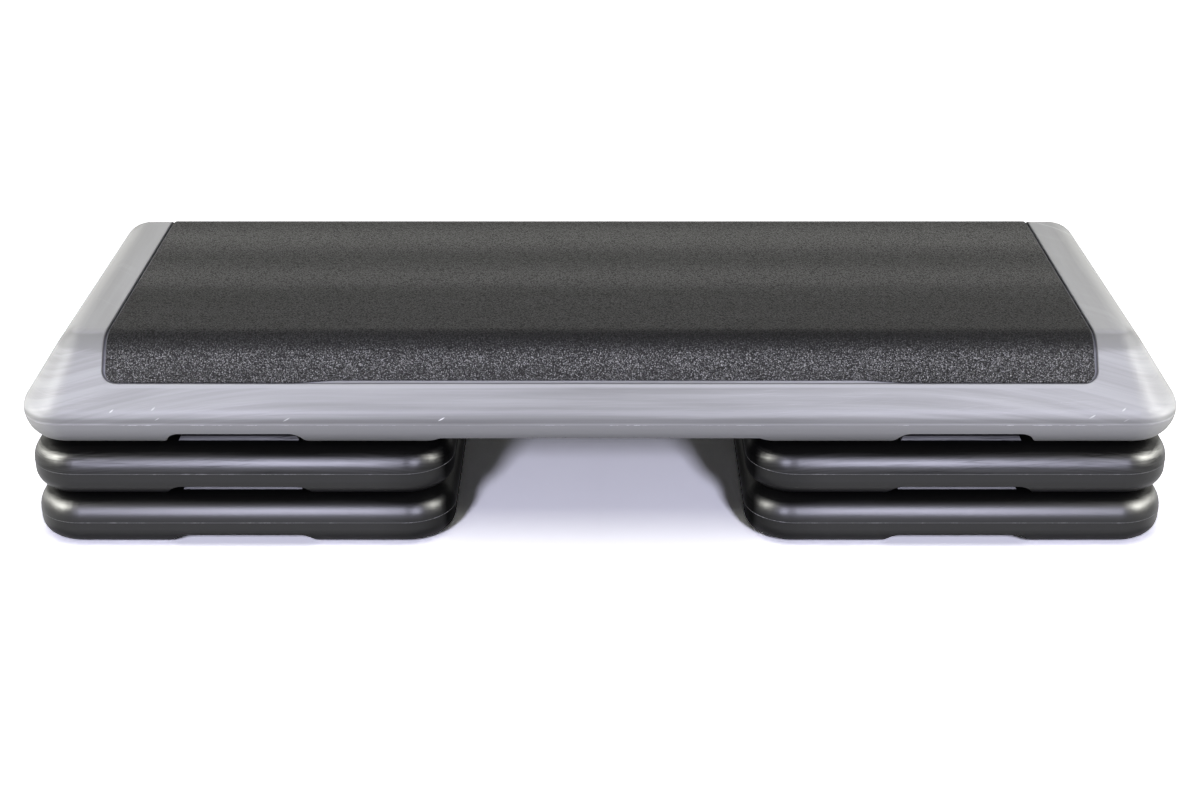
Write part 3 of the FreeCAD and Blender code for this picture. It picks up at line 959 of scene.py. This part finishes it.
def ring_depth(count, edge_round, corner_step, step):
    """How far a ring of points lies inside the edge, counted from the lower rim."""
    turn = edge_turn(count)
    rounded = edge_round * (1.0 - turn.math("COSINE", turn))
    inner = (count - float(EDGE_RINGS)).at_least(0.0)
    corner = inner.at_most(float(CORNER_RINGS))
    return rounded + corner * corner_step + (inner - corner) * step


def mat_recipe():
    """Rubber sheet with softened edges, wrapped over a flat, two folds and two slopes."""
    tree, enter, leave = new_tree(
        "wrapped_mat", "GeometryNodeTree",
        [
            ("half_length", "NodeSocketFloat", 0.4),
            ("half_flat", "NodeSocketFloat", 0.15),
            ("slope_length", "NodeSocketFloat", 0.03),
            ("top", "NodeSocketFloat", 0.2),
            ("thickness", "NodeSocketFloat", 0.003),
            ("fold_radius", "NodeSocketFloat", 0.03),
            ("fold_turn", "NodeSocketFloat", 1.0),
            ("corner_radius", "NodeSocketFloat", 0.01),
            ("edge_round", "NodeSocketFloat", 0.001),
            ("end_stretch", "NodeSocketFloat", 0.0),
            ("columns", "NodeSocketInt", 50),
            ("rows", "NodeSocketInt", 110),
        ],
        [("Geometry", "NodeSocketGeometry")],
    )
    size = {socket.name: Field(tree, socket) for socket in enter.outputs if socket.name}
    half_width = size["half_flat"] + size["fold_radius"] * size["fold_turn"] + size["slope_length"]
    grid = place(
        tree, "GeometryNodeMeshGrid", Size_X=2.0, Size_Y=2.0,
        Vertices_X=size["columns"] * 2.0 + 1.0, Vertices_Y=size["rows"] * 2.0 + 1.0,
    )
    u, v = parts_of(tree, tree.nodes.new("GeometryNodeInputPosition").outputs[0])[:2]
    corner_step = (size["corner_radius"] - size["edge_round"]) / CORNER_RINGS

    def inside(share, half, steps):
        """Ring number and distance from the middle of one direction of the grid."""
        count = steps * (1.0 - share.size())
        step = (half - size["corner_radius"]) / (steps - float(EDGE_RINGS + CORNER_RINGS))
        return count, half - ring_depth(count, size["edge_round"], corner_step, step)

    column, x_size = inside(u, size["half_length"], size["columns"])
    row, s_size = inside(v, half_width, size["rows"])
    x_corner = (x_size - size["half_length"] + size["corner_radius"]).at_least(0.0)
    s_corner = (s_size - half_width + size["corner_radius"]).at_least(0.0)
    diagonal = (x_corner * x_corner + s_corner * s_corner).power(0.5).at_least(TINY)
    pull = x_corner.at_least(s_corner) / diagonal
    x = (x_size - x_corner + x_corner * pull) * u.math("SIGN", u)
    along = s_size - s_corner + s_corner * pull
    side = v.math("SIGN", v)

    ring = column.at_most(row)
    turn = edge_turn(ring)
    rim = ring.at_most(1.0)
    sunk = size["edge_round"] * (1.0 - turn.math("SINE", turn))
    lift = (size["thickness"] - sunk) * rim

    bend = ((along - size["half_flat"]) / size["fold_radius"]).at_least(0.0).at_most(size["fold_turn"])
    past = (along - size["half_flat"] - size["fold_radius"] * size["fold_turn"]).at_least(0.0)
    stretch = x.size().smooth(STRETCH_FROM, STRETCH_TO) * size["end_stretch"] / size["slope_length"]
    past = past * (1.0 + stretch)
    sine, cosine = bend.math("SINE", bend), bend.math("COSINE", bend)
    end_sine = bend.math("SINE", size["fold_turn"])
    end_cosine = bend.math("COSINE", size["fold_turn"])
    y_line = along.at_most(size["half_flat"]) + size["fold_radius"] * sine + past * end_cosine
    z_line = size["top"] - size["fold_radius"] * (1.0 - cosine) - past * end_sine

    def wrapped(height):
        """The grid wrapped over the line, at a height above the sheet's underside."""
        drop = size["thickness"] - height
        place_on = vector_of(tree, x, (y_line - sine * drop) * side, z_line - cosine * drop)
        return chain(tree, grid.outputs["Mesh"], "GeometryNodeSetPosition", Position=place_on)

    upper = wrapped(lift)
    lower = chain(tree, wrapped(0.0), "GeometryNodeFlipFaces")
    joined = tree.nodes.new("GeometryNodeJoinGeometry")
    for skin in (lower, upper):
        tree.links.new(skin, joined.inputs[0])
    closed = chain(tree, joined.outputs[0], "GeometryNodeMergeByDistance", Distance=MERGE_DISTANCE)
    finished(tree, leave, closed, tread_finish)
    return tree


fold_turn = math.pi / 2 - MAT_LEAN
fold_drop = MAT_FOLD_RADIUS * (1.0 - math.cos(fold_turn))
slope_length = (mat_high.z - slope_end - fold_drop) / math.sin(fold_turn)
half_flat = mat_high.y - MAT_FOLD_RADIUS * math.sin(fold_turn) - slope_length * math.cos(fold_turn)
wrapped_mat = made_by(
    mat_recipe(), "pebbled_mat",
    half_length=mat_high.x, half_flat=half_flat, slope_length=slope_length, top=mat_high.z,
    thickness=MAT_THICKNESS, fold_radius=MAT_FOLD_RADIUS, fold_turn=fold_turn,
    corner_radius=MAT_CORNER_RADIUS, edge_round=MAT_EDGE_ROUND, end_stretch=MAT_END_STRETCH,
    columns=MAT_COLUMNS, rows=MAT_ROWS,
)
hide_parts("tread_mat")
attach(wrapped_mat, "deck")
print("mat flat half", round(half_flat, 4), "slope", round(slope_length, 4))

# %% [markdown]
# ### Moulding lines
# Where the two halves of a mould meet, blow-moulded plastic keeps a fine raised line all the way round.
# The riser lines are painted grey on black, and every line is paler in dashes: a painted highlight where the
# raised line catches the light. It follows a path, so a recipe sweeps a tiny round section along a
# rectangle with round corners, and sets one loop or a pair of them.

# %% Plastic of the lines, with a painted highlight
# Painted highlight: the riser lines are grey on black, and every line is paler in dashes.
DECK_LINE_GREY = (0.24, 0.24, 0.245, 1.0)
DECK_LINE_HIGHLIGHT = (0.50, 0.50, 0.52, 1.0)
RISER_LINE_LIT_GREY = (0.09, 0.09, 0.091, 1.0)
RISER_LINE_HIGHLIGHT = (0.28, 0.28, 0.285, 1.0)
DASHES = 45.0
DASH_LIMITS = (0.50, 0.70)
LINE_MATT, DASH_MATT = 0.45, 0.25


def line_plastic(name, plain, pale):
    """Plastic of a moulding line, paler in dashes as a painted highlight on the raised line."""
    material, tree, shader, position = new_finish(name, specular=0.4)
    x, y, z = parts_of(tree, position)
    dash_place = vector_of(tree, x * DASHES, y * DASHES, z * DASHES)
    highlight_dashes = noise(tree, dash_place, 1.0, detail=4.0, roughness=0.75).smooth(*DASH_LIMITS)
    feed(tree, shader.inputs["Base Color"], mixed(tree, highlight_dashes, plain, pale))
    feed(tree, shader.inputs["Roughness"], LINE_MATT + highlight_dashes * DASH_MATT)
    return material


deck_line_finish = line_plastic("deck_line_plastic", DECK_LINE_GREY, DECK_LINE_HIGHLIGHT)
riser_line_finish = line_plastic("riser_line_plastic", RISER_LINE_LIT_GREY, RISER_LINE_HIGHLIGHT)
print("finishes", deck_line_finish.name, riser_line_finish.name)

# %% Line recipe
LINE_RADIUS = 0.00045
LINE_PROUD = 0.00012
DECK_LOWER_ROUND = 0.0295
DECK_CORNER_RADIUS = 0.044
RISER_CORNER_RADIUS = 0.047
CORNER_POINTS = 20
SECTION_POINTS = 8


def line_recipe(name, material):
    """Thin round section swept along a rectangle with round corners, once or in a row."""
    tree, enter, leave = new_tree(
        name, "GeometryNodeTree",
        [
            ("length", "NodeSocketFloat", 1.0),
            ("depth", "NodeSocketFloat", 0.4),
            ("corner_radius", "NodeSocketFloat", 0.04),
            ("section_radius", "NodeSocketFloat", 0.0005),
            ("loops", "NodeSocketInt", 1),
            ("first", "NodeSocketVector", (0.0, 0.0, 0.0)),
            ("step", "NodeSocketVector", (0.0, 0.0, 0.0)),
        ],
        [("Geometry", "NodeSocketGeometry")],
    )
    size = {socket.name: socket for socket in enter.outputs if socket.name}
    outline = place(
        tree, "GeometryNodeCurvePrimitiveQuadrilateral", Width=size["length"], Height=size["depth"],
    ).outputs[0]
    outline = chain(
        tree, outline, "GeometryNodeFilletCurve", {"mode": "POLY"},
        Count=CORNER_POINTS, Radius=size["corner_radius"],
    )
    section = place(
        tree, "GeometryNodeCurvePrimitiveCircle", Resolution=SECTION_POINTS, Radius=size["section_radius"],
    )
    loop = chain(tree, outline, "GeometryNodeCurveToMesh", Profile_Curve=section.outputs[0])
    spots = place(
        tree, "GeometryNodeMeshLine",
        Count=size["loops"], Start_Location=size["first"], Offset=size["step"],
    )
    copies = chain(tree, spots.outputs[0], "GeometryNodeInstanceOnPoints", Instance=loop)
    finished(tree, leave, copies, material)
    return tree


deck_line_tree = line_recipe("deck_line", deck_line_finish)
riser_line_tree = line_recipe("riser_line", riser_line_finish)
print("recipes", deck_line_tree.name, riser_line_tree.name)

# %% Lines on the mouldings
def moulding_line(name, tree, body, low, high, rise, corner_radius, recess=0.0, loops=1, step=0.0):
    """Line round the outside of a moulding, or round a row of them, riding on its body."""
    sunk = recess + LINE_RADIUS - LINE_PROUD
    first = ((low.x + high.x) / 2, (low.y + high.y) / 2, low.z + rise)
    line = made_by(
        tree, name, length=high.x - low.x - 2 * sunk, depth=high.y - low.y - 2 * sunk,
        corner_radius=corner_radius - sunk, section_radius=LINE_RADIUS,
        loops=loops, first=first, step=(step, 0.0, 0.0),
    )
    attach(line, body)


drop = DECK_LOWER_ROUND - DECK_PARTING_RISE
moulding_line(
    "deck_moulding_line", deck_line_tree, "deck",
    deck_low, deck_high, DECK_PARTING_RISE, DECK_CORNER_RADIUS,
    recess=DECK_LOWER_ROUND - math.sqrt(DECK_LOWER_ROUND**2 - drop**2),
)
for side in SIDES:
    low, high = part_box(f"{side}_upper_riser")
    moulding_line(
        f"{side}_upper_riser_line", riser_line_tree, f"{side}_upper_riser",
        low, high, RISER_PARTING_RISE, RISER_CORNER_RADIUS,
    )
low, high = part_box("left_lower_riser")
riser_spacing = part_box("right_lower_riser")[0].x - low.x
moulding_line(
    "lower_riser_lines", riser_line_tree, "lower_risers",
    low, high, RISER_PARTING_RISE, RISER_CORNER_RADIUS, loops=len(SIDES), step=riser_spacing,
)
print("risers stand", round(riser_spacing, 4), "apart")
